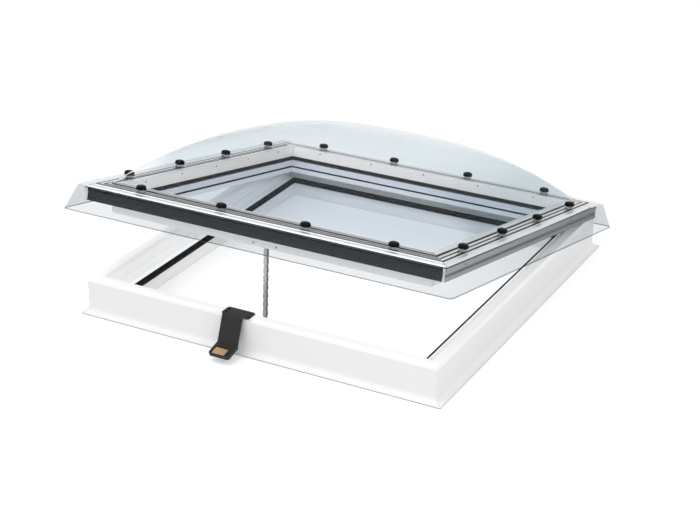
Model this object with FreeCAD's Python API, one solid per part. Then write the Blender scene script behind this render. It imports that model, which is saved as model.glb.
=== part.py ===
import FreeCAD, Part
import math
import os

V = FreeCAD.Vector

# Driving dimensions, millimetres. The window is laid out closed, with +Z up and the
# front edge at -Y. Widths are offsets outward from the clear opening of the kerb.

# Clear opening of the kerb
clear_x = 1000.0
clear_y = 1000.0

# Kerb
kerb_height = 118.0
kerb_wall = 87.0
kerb_skin = 5.0
flange_projection = 18.0
flange_thickness = 4.0
rim_bevel = 6.0
rim_bevel_height = 15.0
rim_width = 29.0
rim_round = 8.0
slope_run = 14.0
slope_foot_drop = 38.0
lower_slope_run = 8.0
ledge_groove = 3.0

# Kerb seal
seal_seat_width = 8.0
seal_seat_depth = 10.0
seal_overhang = 10.0
seal_height = 6.0

# Gaps between the closed sash and the kerb
rim_gap = 1.0
seal_gap = 1.0
lip_gap = 1.0

# Sash frame
sash_inner_low = 4.0
sash_inner = 7.0
sash_outer = 32.0
sash_chamfer = 5.0
sash_skin = 3.0
sash_foot_height = 16.0
shoulder_outer = 41.0
shoulder_drop = 22.0
lobe_height = 29.0
glass_groove_depth = 10.0
glass_drop = 6.0
pane_thickness = 4.0
glass_gap = 20.0
glass_edge_clearance = 1.5
spacer_width = 9.0
gasket_height = 11.0
gasket_overhang = 2.0
bedding_thickness = 2.0

# Aluminium rail on the sash
rail_reveal = 2.0
rail_band_width = 21.0
rail_band_rise = 4.0
rail_ridge_height = 7.0
groove_count = 3
groove_first = 39.0
groove_pitch = 11.0
groove_width = 4.0
groove_depth = 3.0
lip_width = 19.0
lip_drop = 3.0
lip_round = 8.0
lip_base_drop = 11.0
strip_thickness = 2.5
strip_inset = 1.0
lip_hollow = 1.2
lip_flare = 2.0
strip_drop = 31.0
hinge_strip_drop = 18.0

# Dome
dome_thickness = 3.0
dome_foot = 38.0
dome_rise = 190.0
dome_power = 2.5
dome_corner = 20.0
dome_levels = 13
dome_arc_steps = 8
skirt_top_offset = 107.0
skirt_bottom_offset = 137.0
skirt_top_drop = 4.0
skirt_height = 77.0
skirt_edge_round = 5.0
skirt_corner_rim = 5.0
skirt_corner_top = 8.0
skirt_corner_bottom = 32.0
skirt_arc_steps = 4

# Screw caps on the dome flange
cap_ring_offset = 59.0
cap_spacing = 277.0
caps_per_side = 4
cap_radius = 15.5
cap_height = 13.0
cap_round = 5.0
washer_height = 7.0
washer_radius = 11.0
cap_sides = 16

# Hinges
hinge_standoff = 11.0
hinge_rise = 15.0
hinge_spacing = 700.0
hinge_length = 80.0
hinge_knuckle_radius = 6.0
hinge_pin_radius = 3.0
hinge_plate = 3.5
hinge_leaf_drop = 56.0
hinge_bend_drop = 12.0
hinge_gap = 0.5
hinge_bore_clearance = 0.15
open_angle = 12.65

# Chain drive, push chain and the bracket that ties the chain to the sash
chain_x = -26.0
chain_inset = 16.0
chain_pitch = 13.5
chain_core_width = 8.0
chain_plate = 2.0
chain_depth = 10.0
chain_end_round = 5.0
chain_slit_width = 1.0
chain_slit_depth = 1.5
chain_seat_gap = 0.3
pin_radius = 2.5
pin_clearance = 0.15
pin_overhang = 2.0
drive_length = 300.0
drive_depth = 40.0
drive_bottom = 4.0
drive_top_gap = 4.0
drive_round = 6.0
drive_socket_depth = 16.0
drive_socket_clearance = 0.6
bracket_length = 64.0
bracket_plate = 3.0
bracket_height = 14.0
bracket_inset = 22.0
bracket_rise = 6.0
bracket_ear = 3.0
bracket_ear_radius = 5.0
bracket_ear_clearance = 0.6

# Rain sensor on its bent bracket
sensor_x = -67.5
sensor_width = 69.0
sensor_head_x = -60.0
sensor_head_width = 93.0
sensor_head_reach = 30.0
sensor_head_overhang = 9.0
sensor_plate = 3.0
sensor_corner = 5.0
sensor_bend = 5.0
sensor_lean = 29.0
sensor_foot_drop = 76.5
sensor_foot_length = 54.0
sensor_foot_thickness = 10.0
sensor_foot_slope = 13.5
pocket_depth = 4.0
pocket_back = 19.0
pocket_front = 4.0
pocket_left = 6.5
pocket_right = 17.0
pad_clearance = 2.0
pad_thickness = 2.5

# Sizes that follow from the driving dimensions
half_x = clear_x / 2
half_y = clear_y / 2
lobe_base = kerb_height + rim_gap
lobe_top = lobe_base + lobe_height
lobe_outer = kerb_wall
glass_top = lobe_base - glass_drop
glass_base = glass_top - 2 * pane_thickness - glass_gap
groove_base = glass_base - bedding_thickness
groove_outer = sash_inner + glass_groove_depth
gasket_top = glass_top + gasket_height
sash_bottom = groove_base - sash_foot_height
seal_top = sash_bottom - seal_gap
ledge_height = seal_top - seal_height
seal_seat = ledge_height - seal_seat_depth
slope_foot_height = kerb_height - slope_foot_drop
drive_top = seal_seat - drive_top_gap
chain_width = chain_core_width + 2 * chain_plate
rail_inner = sash_inner + rail_reveal
rail_band_outer = rail_inner + rail_band_width
ridge_top = lobe_top + rail_ridge_height
band_top = ridge_top + rail_band_rise
strip_inner = kerb_wall + lip_gap
strip_outer = strip_inner + strip_thickness
rail_outer = strip_outer + strip_inset
lip_top = ridge_top - lip_drop
lip_base = lobe_top - lip_base_drop
flange_under = ridge_top
flange_top = flange_under + dome_thickness
hinge_y = half_y + kerb_wall + hinge_standoff
hinge_z = kerb_height + hinge_rise
SIDES = ("front", "right", "back", "left")


def wire_of(points):
    """Closed wire in the YZ plane; a point may be an arc, given as ('arc', middle, end)."""
    edges = []
    last = points[0]
    for item in points[1:] + [points[0]]:
        if item[0] == "arc":
            end = item[2]
            ends = [V(0, -q[0], q[1]) for q in (last, item[1], end)]
            edges.append(Part.Arc(*ends).toShape())
            last = end
        elif item != last:
            edges.append(Part.makeLine(V(0, -last[0], last[1]), V(0, -item[0], item[1])))
            last = item
    return Part.Wire(edges)


def quarter(start, end, corner):
    """Quarter circle from start to end, bulging towards the corner point."""
    k = math.sqrt(0.5)
    centre = (start[0] + end[0] - corner[0], start[1] + end[1] - corner[1])
    middle = (centre[0] + k * (corner[0] - centre[0]), centre[1] + k * (corner[1] - centre[1]))
    return ("arc", middle, end)


def solid_of(shape):
    solids = shape.Solids
    if len(solids) == 1:
        return solids[0]
    return Part.makeCompound(solids)


def spans(side):
    """Half length of a side's clear opening and its distance from the centre."""
    return (half_x, half_y) if side in ("front", "back") else (half_y, half_x)


def turned(shape, side):
    """Turn a piece laid out on the front side to its own side."""
    shape.rotate(V(0, 0, 0), V(0, 0, 1), 90 * SIDES.index(side))
    return shape


def front_wedge(side):
    """Room of one side between its two mitre planes, laid out on the front side."""
    along, away = spans(side)
    reach = 2 * kerb_wall
    low = -away
    corners = [
        V(-along + kerb_wall, -away + kerb_wall, low),
        V(-along - reach, -away - reach, low),
        V(along + reach, -away - reach, low),
        V(along - kerb_wall, -away + kerb_wall, low)]
    return Part.Face(Part.makePolygon(corners + corners[:1])).extrude(V(0, 0, 2 * away))


def mitre_wedge(side):
    return turned(front_wedge(side), side)


def mitred(side, profile, holes=()):
    """One side of a frame: a profile of (offset, height) run along the side and mitred."""
    along, away = spans(side)
    face = Part.Face(wire_of(profile))
    for hole in holes:
        face = face.cut(Part.Face(wire_of(hole)))
    reach = along + 2 * kerb_wall
    face.translate(V(-reach, -away, 0))
    bar = face.extrude(V(2 * reach, 0, 0))
    return solid_of(turned(bar.common(front_wedge(side)), side))


def box(x0, x1, y0, y1, z0, z1):
    return Part.makeBox(x1 - x0, y1 - y0, z1 - z0, V(x0, y0, z0))


def rod(radius, x0, x1, y, z):
    return Part.makeCylinder(radius, x1 - x0, V(x0, y, z), V(1, 0, 0))


def prism(outline, x0, x1):
    """Outline of (y, z) points run from x0 to x1."""
    points = [V(x0, y, z) for y, z in outline]
    return Part.Face(Part.makePolygon(points + points[:1])).extrude(V(x1 - x0, 0, 0))


def swing(shape):
    """Turn a piece of the closed sash about the hinge to its open place."""
    turned = shape.copy()
    turned.rotate(V(0, hinge_y, hinge_z), V(1, 0, 0), -open_angle)
    return turned


def kerb_profile():
    rim_outer = kerb_wall - rim_bevel
    rim_inner = rim_outer - rim_width
    slope_foot = rim_inner - slope_run
    ledge_outer = slope_foot - lower_slope_run
    flange = kerb_wall + flange_projection
    cove_top = flange_thickness + flange_projection
    cove = flange_projection * (1 - math.sqrt(0.5))
    g = ledge_groove
    slope = slope_run / slope_foot_drop
    return [
        (0.0, 0.0),
        (flange, 0.0),
        (flange, flange_thickness),
        ("arc", (kerb_wall + cove, flange_thickness + cove), (kerb_wall, cove_top)),
        (kerb_wall, kerb_height - rim_bevel_height),
        (rim_outer, kerb_height),
        (rim_inner + rim_round * 0.7, kerb_height),
        ("arc", (rim_inner + rim_round * 0.11, kerb_height - rim_round * 0.3),
         (rim_inner - rim_round * slope, kerb_height - rim_round)),
        (slope_foot + g * slope, slope_foot_height + g),
        (slope_foot + g, slope_foot_height),
        (slope_foot - g / 2, slope_foot_height),
        (ledge_outer, ledge_height + g),
        (ledge_outer, ledge_height - g),
        (ledge_outer - g, ledge_height - g),
        (ledge_outer - g, ledge_height),
        (seal_seat_width, ledge_height),
        (seal_seat_width, seal_seat),
        (0.0, seal_seat)]


def kerb_chambers():
    s = kerb_skin
    rim_outer = kerb_wall - rim_bevel
    rim_inner = rim_outer - rim_width
    slope_foot = rim_inner - slope_run
    web = ledge_height - ledge_groove - s
    step = seal_seat_width + s
    under = seal_seat - s
    lower = [(s, s), (kerb_wall - s, s), (kerb_wall - s, web), (step, web), (step, under), (s, under)]
    upper = [
        (slope_foot + s, web + s),
        (kerb_wall - s, web + s),
        (kerb_wall - s, kerb_height - rim_bevel_height - 1.0),
        (rim_outer - s, kerb_height - s),
        (rim_inner + s + 2.0, kerb_height - s - 2.0),
        (slope_foot + s + 2.0, slope_foot_height)]
    return [lower, upper]


def seal_profile():
    radius = (seal_seat_width + seal_overhang) / 2
    middle = seal_seat_width - radius
    spring = seal_top - radius
    return [
        (-seal_overhang, seal_seat),
        (seal_seat_width, seal_seat),
        (seal_seat_width, spring),
        ("arc", (middle, seal_top), (-seal_overhang, spring))]


def sash_profile():
    return [
        (sash_inner_low, sash_bottom),
        (sash_outer - sash_chamfer, sash_bottom),
        (sash_outer, sash_bottom + sash_chamfer),
        (sash_outer, lobe_base - shoulder_drop),
        (shoulder_outer, lobe_base - shoulder_drop),
        (shoulder_outer, lobe_base),
        (lobe_outer, lobe_base),
        (lobe_outer, lobe_top),
        (rail_band_outer, lobe_top),
        (rail_band_outer, ridge_top),
        (rail_inner, ridge_top),
        (rail_inner, band_top),
        (sash_inner, band_top),
        (sash_inner, gasket_top),
        (groove_outer, gasket_top),
        (groove_outer, groove_base),
        (sash_inner_low, groove_base)]


def sash_chambers():
    s = sash_skin
    low = lobe_base - shoulder_drop
    foot = [
        (sash_inner_low + s, sash_bottom + s),
        (sash_outer - s - sash_chamfer, sash_bottom + s),
        (sash_outer - s, sash_bottom + s + sash_chamfer),
        (sash_outer - s, groove_base - s),
        (sash_inner_low + s, groove_base - s)]
    core = [
        (groove_outer + s, groove_base),
        (sash_outer - s, groove_base),
        (sash_outer - s, low + s),
        (shoulder_outer - s, low + s),
        (shoulder_outer - s, lobe_top - s),
        (groove_outer + s, lobe_top - s)]
    lobe = [
        (shoulder_outer, lobe_base + s),
        (lobe_outer - s, lobe_base + s),
        (lobe_outer - s, lobe_top - s),
        (shoulder_outer, lobe_top - s)]
    return [foot, core, lobe]


def rail_profile(side):
    points = [(rail_inner, ridge_top), (rail_inner, band_top), (rail_band_outer, band_top)]
    points.append((rail_band_outer + 1.0, ridge_top))
    for number in range(groove_count):
        start = groove_first + number * groove_pitch
        points.append((start, ridge_top))
        points.append((start + groove_width / 4, ridge_top - groove_depth))
        points.append((start + groove_width * 3 / 4, ridge_top - groove_depth))
        points.append((start + groove_width, ridge_top))
    lip_inner = rail_outer - lip_width
    bend = (rail_outer - lip_round, lip_top)
    fall = (rail_outer, lip_top - lip_round)
    points += [
        (lip_inner - lip_drop / 2, ridge_top),
        (lip_inner, lip_top),
        bend,
        quarter(bend, fall, (rail_outer, lip_top)),
        (rail_outer, lip_base)]
    if side in ("left", "right"):
        low = lip_base - strip_drop
        points += [
            (strip_outer, lip_base),
            ("arc", (strip_outer - lip_hollow, lip_base - strip_drop * 0.55),
             (strip_outer + lip_flare, low)),
            (strip_inner, low),
            (strip_inner, lip_base)]
    return points + [
        (lobe_outer, lip_base),
        (lobe_outer, lobe_top),
        (rail_band_outer, lobe_top),
        (rail_band_outer, ridge_top)]


def lip_face(drop):
    """Hanging lip below the rail: hollow outer face that flares to a drip edge."""
    low = lip_base - drop
    return [
        (strip_inner, low),
        (strip_outer + lip_flare, low),
        ("arc", (strip_outer - lip_hollow, lip_base - drop * 0.55), (strip_outer, lip_base))]


def strip_profile(side):
    drop = hinge_strip_drop if side == "back" else strip_drop
    return lip_face(drop) + [(strip_inner, lip_base)]


def make_kerb():
    pieces = {}
    for side in SIDES:
        pieces["kerb_" + side] = mitred(side, kerb_profile(), kerb_chambers())
        pieces["kerb_seal_" + side] = mitred(side, seal_profile())
    return pieces


def make_sash():
    pieces = {}
    for side in SIDES:
        pieces["sash_" + side] = mitred(side, sash_profile(), sash_chambers())
        pieces["rail_" + side] = mitred(side, rail_profile(side))
    for side in ("front", "back"):
        pieces["dark_strip_" + side] = mitred(side, strip_profile(side))
    return pieces


def plate_round(offset, z0, z1):
    return box(-half_x - offset, half_x + offset, -half_y - offset, half_y + offset, z0, z1)


def ring(outer_offset, inner_offset, z0, z1):
    return plate_round(outer_offset, z0, z1).cut(plate_round(inner_offset, z0 - 1, z1 + 1))


def make_glazing():
    edge = groove_outer - glass_edge_clearance
    gap_base = glass_base + pane_thickness
    gap_top = gap_base + glass_gap
    return {
        "glass_inner": plate_round(edge, glass_base, gap_base),
        "glass_outer": plate_round(edge, gap_top, glass_top),
        "glass_spacer": ring(edge, edge - spacer_width, gap_base, gap_top),
        "glazing_gasket": ring(groove_outer, sash_inner - gasket_overhang, glass_top, gasket_top),
        "glass_bedding": ring(groove_outer, sash_inner_low, groove_base, glass_base)}


def rounded_section(reach_x, reach_y, corner, height, steps):
    """Corners of a rectangle with rounded corners, each arc divided into the same number of steps."""
    points = []
    for number, (sx, sy) in enumerate(((1, 1), (-1, 1), (-1, -1), (1, -1))):
        for step in range(steps + 1):
            angle = math.pi / 2 * (number + step / steps)
            x = sx * (reach_x - corner) + corner * math.cos(angle)
            y = sy * (reach_y - corner) + corner * math.sin(angle)
            points.append(V(x, y, height))
    return points


def facet(points):
    return Part.Face(Part.makePolygon(points + points[:1]))


def lofted(sections):
    """Solid through flat sections with as many corners each, joined by flat facets."""
    faces = [facet(sections[0]), facet(sections[-1])]
    for low, high in zip(sections, sections[1:]):
        for i in range(len(low)):
            j = i - 1
            faces.append(facet([low[j], low[i], high[i], high[j]]))
    shell = Part.Shell(faces)
    shell.sewShape()
    solid = Part.Solid(shell)
    if solid.Volume < 0:
        solid.reverse()
    return solid


def blown_form(foot_offset, base, rise):
    """Closed form of the blown dome: square at its foot and rounder with each level."""
    sections = []
    for level in range(dome_levels):
        share = math.sin(math.pi / 2 * level / (dome_levels - 0.6))
        side = (1 - share ** 2) ** (1 / dome_power)
        diagonal = (1 - share) ** (1 / dome_power)
        reach_x = (half_x + foot_offset) * side
        reach_y = (half_y + foot_offset) * side
        corner = min(reach_x, reach_y) * (1 - diagonal / side) / (1 - math.sqrt(0.5))
        corner = max(corner, dome_corner * side)
        sections.append(rounded_section(reach_x, reach_y, corner, base + rise * share, dome_arc_steps))
    return lofted(sections)


def skirt_section(offset, corner, height):
    return rounded_section(half_x + offset, half_y + offset, corner, height, skirt_arc_steps)


def skirt_wall():
    """Flared skirt round the flange, with a rolled upper edge."""
    t = dome_thickness
    roll = flange_top - skirt_top_drop
    foot = roll - skirt_height
    rim_offset = skirt_top_offset - skirt_edge_round
    rim = skirt_section(rim_offset, skirt_corner_rim, flange_top)
    outer = lofted([
        skirt_section(skirt_bottom_offset, skirt_corner_bottom, foot),
        skirt_section(skirt_top_offset, skirt_corner_top, roll),
        rim])
    inner = lofted([
        skirt_section(skirt_bottom_offset - t, skirt_corner_bottom - t, foot),
        skirt_section(skirt_top_offset - t, skirt_corner_rim, roll - t),
        skirt_section(rim_offset, skirt_corner_rim, flange_under),
        rim])
    return outer.cut(inner)


def make_dome():
    """Moulded cover, given as its blown top, its flat flange and the four walls of its skirt."""
    t = dome_thickness
    rim_offset = skirt_top_offset - skirt_edge_round
    outer = blown_form(dome_foot, flange_top, dome_rise)
    inner = blown_form(dome_foot - t, flange_under, dome_rise)
    plate = facet(skirt_section(rim_offset, skirt_corner_rim, flange_under)).extrude(V(0, 0, t))
    foot = rounded_section(
        half_x + dome_foot - t, half_y + dome_foot - t, dome_corner, flange_under - 1, dome_arc_steps)
    pieces = {
        "dome": solid_of(outer.cut(inner)),
        "dome_flange": solid_of(plate.cut(facet(foot).extrude(V(0, 0, t + 2))))}
    skirt = skirt_wall()
    for side in SIDES:
        pieces["dome_skirt_" + side] = solid_of(skirt.common(mitre_wedge(side)))
    return pieces


def cap_places():
    """Places of the screw caps on the dome's flange, the same number on each side."""
    places = []
    start = -cap_spacing * (caps_per_side - 1) / 2
    for side in SIDES:
        turn = FreeCAD.Rotation(V(0, 0, 1), 90 * SIDES.index(side))
        away = spans(side)[1] + cap_ring_offset
        for number in range(caps_per_side):
            places.append(turn.multVec(V(start + number * cap_spacing, -away, 0)))
    return places


def cap_section(radius, height):
    points = []
    for number in range(cap_sides):
        angle = 2 * math.pi * number / cap_sides
        points.append(V(radius * math.cos(angle), radius * math.sin(angle), height))
    return points


def make_caps():
    base = flange_top + washer_height
    top = base + cap_height
    cap = lofted([
        cap_section(cap_radius, base),
        cap_section(cap_radius, top - cap_round),
        cap_section(cap_radius - cap_round, top)])
    collar = lofted([cap_section(washer_radius, flange_top), cap_section(washer_radius, base)])
    pieces = {"screw_caps": cap, "cap_collars": collar}
    for name, shape in pieces.items():
        copies = []
        for place in cap_places():
            copy = shape.copy()
            copy.translate(place)
            copies.append(copy)
        pieces[name] = Part.makeCompound(copies)
    return pieces


def make_hinges():
    """Two butt hinges: a leaf on the kerb's back wall, a leaf on the back rail and a pin each."""
    r = hinge_knuckle_radius
    wall = half_y + kerb_wall
    face = half_y + rail_outer
    t = hinge_plate
    gap = hinge_gap
    low = lip_top - lip_round
    kerb_outline = [
        (wall, kerb_height - hinge_leaf_drop), (wall + t, kerb_height - hinge_leaf_drop),
        (wall + t, kerb_height - hinge_bend_drop), (hinge_y + r * 0.7, hinge_z - r * 0.7),
        (hinge_y, hinge_z), (hinge_y - r * 0.75, hinge_z - r * 0.5), (wall, kerb_height - rim_bevel_height)]
    base = hinge_z + r + t / 2
    sash_outline = [(face, base), (hinge_y, base), (hinge_y, low), (face, low)]
    web_outline = [
        (hinge_y - t / 2, hinge_z), (hinge_y + t / 2, hinge_z), (hinge_y, base + gap), (face, base + gap)]
    kerb_leaves = []
    sash_leaves = []
    pins = []
    for centre in (-hinge_spacing / 2, hinge_spacing / 2):
        x0 = centre - hinge_length / 2
        x1 = centre + hinge_length / 2
        mid0 = x0 + hinge_length / 3
        mid1 = x1 - hinge_length / 3
        bore = rod(hinge_pin_radius + hinge_bore_clearance, x0, x1, hinge_y, hinge_z)
        window = box(mid0, mid1, wall, hinge_y + 2 * r, hinge_z - r - 2 * t, hinge_z + 2 * r)
        kerb_leaf = prism(kerb_outline, x0, x1).fuse(rod(r, x0, x1, hinge_y, hinge_z)).cut(window).cut(bore)
        middle = prism(web_outline, mid0 + gap, mid1 - gap)
        middle = middle.fuse(rod(r, mid0 + gap, mid1 - gap, hinge_y, hinge_z))
        sash_leaf = prism(sash_outline, x0, x1).fuse(middle).cut(bore)
        kerb_leaves.append(solid_of(kerb_leaf.removeSplitter()))
        sash_leaves.append(swing(solid_of(sash_leaf.removeSplitter())))
        pins.append(rod(hinge_pin_radius, x0, x1, hinge_y, hinge_z))
    return {
        "hinge_kerb_leaves": Part.makeCompound(kerb_leaves),
        "hinge_sash_leaves": Part.makeCompound(sash_leaves),
        "hinge_pins": Part.makeCompound(pins)}


def swung_point(y, z):
    """Place that a point of the closed sash has when the sash stands open."""
    angle = math.radians(open_angle)
    dy = y - hinge_y
    dz = z - hinge_z
    return (
        hinge_y + dy * math.cos(angle) + dz * math.sin(angle),
        hinge_z - dy * math.sin(angle) + dz * math.cos(angle))


def chain_line():
    """Foot of the chain in the drive, its length to the bracket pin and its lean in degrees."""
    foot_y = -half_y + chain_inset
    pin_y, pin_z = swung_point(-half_y + bracket_inset, sash_bottom + bracket_rise)
    foot_z = drive_top - drive_socket_depth + chain_seat_gap + chain_depth / 8
    lean = math.degrees(math.atan2(pin_y - foot_y, pin_z - foot_z))
    return foot_y, foot_z, math.hypot(pin_y - foot_y, pin_z - foot_z), lean


def link_plate(x, y, z0, z1):
    """Side plate of one link from pin to pin, with cut corners."""
    r = chain_depth / 2
    low = z0 - r
    top = z1 + r
    c = r / 2
    outline = [
        (y - r, low + c), (y - r + c, low), (y + r - c, low), (y + r, low + c),
        (y + r, top - c), (y + r - c, top), (y - r + c, top), (y - r, top - c)]
    return prism(outline, x, x + chain_plate)


def make_chain():
    """Push chain: a slit core strip with a pair of plates over every second link, leaning from its foot."""
    y, foot, length, lean = chain_line()
    r = chain_depth / 2
    core = chain_core_width / 2
    strip = box(chain_x - core, chain_x + core, y - r, y + r, foot, foot + length)
    strip = strip.fuse(rod(chain_end_round, chain_x - core, chain_x + core, y, foot + length))
    count = int((length - drive_socket_depth) / chain_pitch)
    plates = []
    slits = []
    for number in range(count):
        z = foot + length - number * chain_pitch
        if number > 0:
            slits.append(box(
                chain_x - core, chain_x + core, y - r, y - r + chain_slit_depth,
                z - chain_slit_width / 2, z + chain_slit_width / 2))
        if number % 2 == 0:
            plates.append(link_plate(chain_x - core - chain_plate, y, z - chain_pitch, z))
            plates.append(link_plate(chain_x + core, y, z - chain_pitch, z))
    chain = strip.cut(slits).fuse(plates).removeSplitter()
    bore = rod(pin_radius + pin_clearance, chain_x - chain_width, chain_x + chain_width, y, foot + length)
    chain = chain.cut(bore)
    chain.rotate(V(chain_x, y, foot), V(1, 0, 0), -lean)
    return solid_of(chain)


def make_drive():
    """Slim housing on the kerb's front wall, under the seal, with a socket that the chain leaves by."""
    y, foot, length, lean = chain_line()
    wall = -half_y
    x0 = chain_x - drive_length / 2
    housing = box(x0, x0 + drive_length, wall, wall + drive_depth, drive_bottom, drive_top)
    rims = [edge for edge in housing.Edges if edge.BoundBox.YMin > wall + drive_depth - 0.01]
    housing = housing.makeFillet(drive_round, rims)
    c = drive_socket_clearance
    r = chain_depth / 2
    half = chain_width / 2
    swing_room = drive_socket_depth * math.tan(math.radians(lean))
    socket = box(
        chain_x - half - c, chain_x + half + c, y - r - c, y + r + c + swing_room,
        drive_top - drive_socket_depth, drive_top + 1)
    return solid_of(housing.cut(socket))


def make_bracket():
    """Plate on the sash's inner face with two ears, and the pin through the chain's end."""
    face = -half_y - sash_inner_low
    pin_y = -half_y + bracket_inset
    pin_z = sash_bottom + bracket_rise
    reach = chain_width / 2 + bracket_ear_clearance
    bracket = box(
        chain_x - bracket_length / 2, chain_x + bracket_length / 2,
        face, face + bracket_plate, sash_bottom, sash_bottom + bracket_height)
    for x in (chain_x - reach - bracket_ear, chain_x + reach):
        ear = box(x, x + bracket_ear, face, pin_y, pin_z - bracket_ear_radius, pin_z + bracket_ear_radius)
        bracket = bracket.fuse([ear, rod(bracket_ear_radius, x, x + bracket_ear, pin_y, pin_z)])
    half = reach + bracket_ear + pin_overhang
    bore = rod(pin_radius + pin_clearance, chain_x - half, chain_x + half, pin_y, pin_z)
    pin = rod(pin_radius, chain_x - half, chain_x + half, pin_y, pin_z)
    return {
        "chain_bracket": swing(solid_of(bracket.cut(bore).removeSplitter())),
        "chain_pin": swing(pin)}


def cut_corner_plate(x0, x1, y0, y1, z0, z1, back_corner, front_corner):
    """Flat plate with cut corners at its back (y1) and its front (y0)."""
    b = back_corner
    f = front_corner
    points = [
        V(x0 + f, y0, z0), V(x1 - f, y0, z0), V(x1, y0 + f, z0), V(x1, y1 - b, z0),
        V(x1 - b, y1, z0), V(x0 + b, y1, z0), V(x0, y1 - b, z0), V(x0, y0 + f, z0)]
    distinct = []
    for point in points:
        if not distinct or point.distanceToPoint(distinct[-1]) > 0.001:
            distinct.append(point)
    return facet(distinct).extrude(V(0, 0, z1 - z0))


def make_sensor():
    """Bent strip on the front rim: head, leaning leg and sloping foot with a pocket for the pad."""
    t = sensor_plate
    bend = sensor_bend
    wall = -half_y - kerb_wall
    edge = wall - sensor_head_overhang
    seat = wall + rim_bevel
    top = kerb_height
    foot_top = top - sensor_foot_drop
    foot_low = foot_top - sensor_foot_thickness
    toe = edge - sensor_lean
    leg = [
        (seat, top), (edge + t, top), (toe + t, foot_top), (toe + t, foot_low), (toe, foot_low),
        (toe, foot_top), (edge, top - bend), (edge + bend / 3, top + t - bend / 3),
        (edge + bend, top + t), (seat, top + t)]
    x0 = sensor_x - sensor_width / 2
    x1 = sensor_x + sensor_width / 2
    head0 = sensor_head_x - sensor_head_width / 2
    head1 = sensor_head_x + sensor_head_width / 2
    head = cut_corner_plate(
        head0, head1, edge + bend / 3, seat + sensor_head_reach, top, top + t, sensor_corner, sensor_corner)
    foot = cut_corner_plate(
        x0, x1, toe - sensor_foot_length, toe, foot_low, foot_top, 0.0, sensor_corner)
    floor = foot_top - pocket_depth
    pocket = [
        x0 + pocket_left, x1 - pocket_right,
        toe - sensor_foot_length + pocket_front, toe - pocket_back]
    foot = foot.cut(box(*pocket, floor, foot_top + 1))
    c = pad_clearance
    pad = box(
        pocket[0] + c, pocket[1] - c, pocket[2] + c, pocket[3] - c, floor, floor + pad_thickness)
    for piece in (foot, pad):
        piece.rotate(V(0, toe, foot_top), V(1, 0, 0), sensor_foot_slope)
    bracket = prism(leg, x0, x1).fuse([head, foot]).removeSplitter()
    return {"sensor_bracket": solid_of(bracket), "sensor_pad": pad}


def build():
    pieces = make_kerb()
    moving = make_sash()
    moving.update(make_glazing())
    moving.update(make_dome())
    moving.update(make_caps())
    for name, shape in moving.items():
        pieces[name] = swing(shape)
    pieces.update(make_hinges())
    pieces["chain_drive"] = make_drive()
    pieces["push_chain"] = make_chain()
    pieces.update(make_bracket())
    pieces.update(make_sensor())
    return pieces


os.makedirs("parts", exist_ok=True)
for name, shape in build().items():
    shape.exportStep("parts/" + name + ".step")
    print(name, len(shape.Solids), "solids", round(shape.Volume / 1000.0, 1), "cm3", shape.isValid())
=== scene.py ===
import math

import bmesh
import bpy
from mathutils import Matrix, Vector


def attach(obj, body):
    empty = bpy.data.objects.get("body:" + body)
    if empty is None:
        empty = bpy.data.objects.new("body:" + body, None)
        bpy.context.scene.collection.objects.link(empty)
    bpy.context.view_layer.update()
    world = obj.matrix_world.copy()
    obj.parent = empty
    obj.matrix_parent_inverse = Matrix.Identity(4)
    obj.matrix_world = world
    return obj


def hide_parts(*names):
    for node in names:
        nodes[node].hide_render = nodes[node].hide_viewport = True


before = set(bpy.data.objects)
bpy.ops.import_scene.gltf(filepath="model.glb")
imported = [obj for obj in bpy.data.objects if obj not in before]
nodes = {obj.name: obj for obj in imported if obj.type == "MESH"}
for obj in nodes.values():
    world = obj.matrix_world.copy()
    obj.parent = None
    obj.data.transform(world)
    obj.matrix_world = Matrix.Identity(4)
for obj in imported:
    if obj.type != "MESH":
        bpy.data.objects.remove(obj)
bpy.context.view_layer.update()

# All lengths are in metres. Places on the sash and the cover are given with the sash closed, and
# the sash then stands open, turned about its hinge line.
HINGE_Y = 0.598
HINGE_Z = 0.133
OPEN = math.radians(12.65)
SIDES = ("front", "right", "back", "left")
swing = (Matrix.Translation((0, HINGE_Y, HINGE_Z)) @ Matrix.Rotation(-OPEN, 4, "X")
         @ Matrix.Translation((0, -HINGE_Y, -HINGE_Z)))


# Shader helpers

def material_named(name):
    """New node material; returns it with its tree and its Principled shader."""
    material = bpy.data.materials.new(name)
    material.use_nodes = True
    tree = material.node_tree
    return material, tree, tree.nodes["Principled BSDF"]


def group_named(name, inputs, outputs):
    """New shader node group; inputs are given as (name, type, default), outputs as (name, type)."""
    tree = bpy.data.node_groups.new(name, "ShaderNodeTree")
    for label, kind, value in inputs:
        socket = tree.interface.new_socket(label, in_out="INPUT", socket_type="NodeSocket" + kind)
        if value is not None:
            socket.default_value = value
    for label, kind in outputs:
        tree.interface.new_socket(label, in_out="OUTPUT", socket_type="NodeSocket" + kind)
    return tree, tree.nodes.new("NodeGroupInput"), tree.nodes.new("NodeGroupOutput")


def mask_group(name, masks):
    """New group that turns a place in the frame's own plane into masks."""
    return group_named(name, [("Vector", "Vector", None)], [(mask, "Float") for mask in masks])


def placed(tree, group):
    node = tree.nodes.new("ShaderNodeGroup")
    node.node_tree = group
    return node


def link(tree, source, target):
    tree.links.new(source, target)


def maths(tree, kind, a, b=None, clamp=False):
    """Math node; each input is a socket or a number."""
    node = tree.nodes.new("ShaderNodeMath")
    node.operation = kind
    node.use_clamp = clamp
    for socket, value in zip(node.inputs, (a, b)):
        if isinstance(value, (int, float)):
            socket.default_value = value
        elif value is not None:
            link(tree, value, socket)
    return node.outputs[0]


def times(tree, a, b):
    return maths(tree, "MULTIPLY", a, b)


def opposite(tree, mask):
    return maths(tree, "SUBTRACT", 1.0, mask)


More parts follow.
